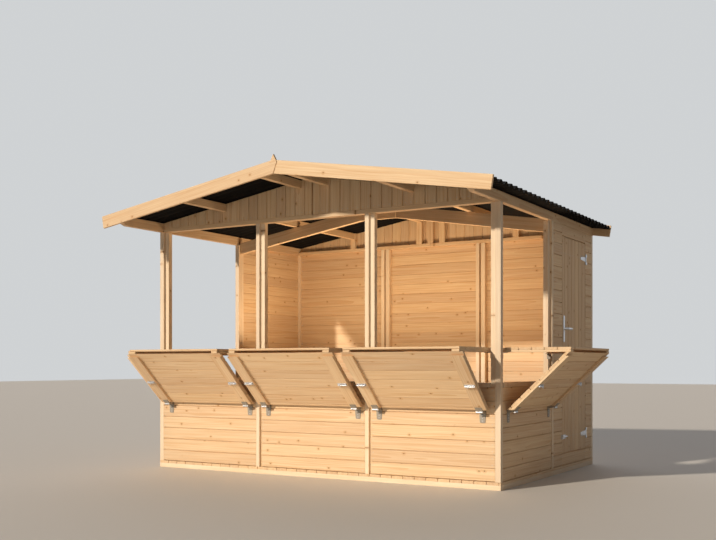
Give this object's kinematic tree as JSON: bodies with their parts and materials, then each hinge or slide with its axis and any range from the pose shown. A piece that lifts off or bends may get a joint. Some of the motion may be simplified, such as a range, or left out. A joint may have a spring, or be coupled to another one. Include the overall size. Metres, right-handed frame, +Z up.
{
  "type": "wooden market stall",
  "caption": "Gabled wooden market stall of boarded wall panels with a corrugated roof, folded-down counter hatches on the front and sides, and a side door.",
  "frame": {"origin": "bottom centre of the whole stall, on the ground", "axes": "+Z up, front with the wide hatches faces -Y, the door is in the +X wall"},
  "size_m": [4.3054, 2.82, 2.5575],
  "materials": {
    "wall_boards": "planed spruce boards, untreated",
    "frame_timber": "planed spruce",
    "floor_boards": "planed spruce, trodden",
    "roof_timber": "planed spruce",
    "bargeboard": "planed spruce",
    "gable_boards": "planed spruce boards",
    "hatch_boards": "planed spruce boards",
    "door_boards": "planed spruce boards",
    "bitumen_sheet": "corrugated bitumen sheet, matt",
    "zinc_plated_steel": "zinc plated"
  },
  "bodies": {
    "stall": {"front_boards": "wall_boards", "left_low_boards": "wall_boards", "right_low_boards": "wall_boards", "left_rear_boards": "wall_boards", "back_boards": "wall_boards", "door_side_boards": "wall_boards", "door_top_boards": "wall_boards", "door_foot_boards": "wall_boards", "corner_posts": "frame_timber", "cover_posts": "frame_timber", "frame_posts": "frame_timber", "sill_rails": "frame_timber", "door_frame": "frame_timber", "floor_frame": "frame_timber", "floor_boards": "floor_boards", "ridge_purlins": "roof_timber", "mid_purlins": "roof_timber", "eave_purlins": "roof_timber", "truss_left": "roof_timber", "truss_right": "roof_timber", "truss_splice": "roof_timber", "front_bargeboard_left": "bargeboard", "front_bargeboard_right": "bargeboard", "rear_bargeboard_left": "bargeboard", "rear_bargeboard_right": "bargeboard", "front_gable_left": "gable_boards", "front_gable_right": "gable_boards", "back_gable_left": "gable_boards", "back_gable_right": "gable_boards", "front_hatch_leaf": "hatch_boards", "right_hatch_leaf": "hatch_boards", "left_hatch_leaf": "hatch_boards", "front_hatch_counter": "hatch_boards", "right_hatch_counter": "hatch_boards", "left_hatch_counter": "hatch_boards", "roof_sheet_left": "bitumen_sheet", "roof_sheet_right": "bitumen_sheet", "ridge_cap": "bitumen_sheet", "hatch_hinges": "zinc_plated_steel", "counter_brackets": "zinc_plated_steel", "hatch_bolts": "zinc_plated_steel", "door_hinge_plates": "zinc_plated_steel", "bolt_keeper": "zinc_plated_steel"},
    "door": {"door_leaf": "door_boards", "door_straps": "zinc_plated_steel", "door_handle": "zinc_plated_steel", "door_bolt": "zinc_plated_steel"}
  },
  "joints": [
    {"name": "door_hinge", "type": "hinge", "parent": "stall", "child": "door", "pos_m": [1.6635, 1.153, 1.1], "axis": [0, 0, 1], "range_deg": [0, 170]}
  ]
}
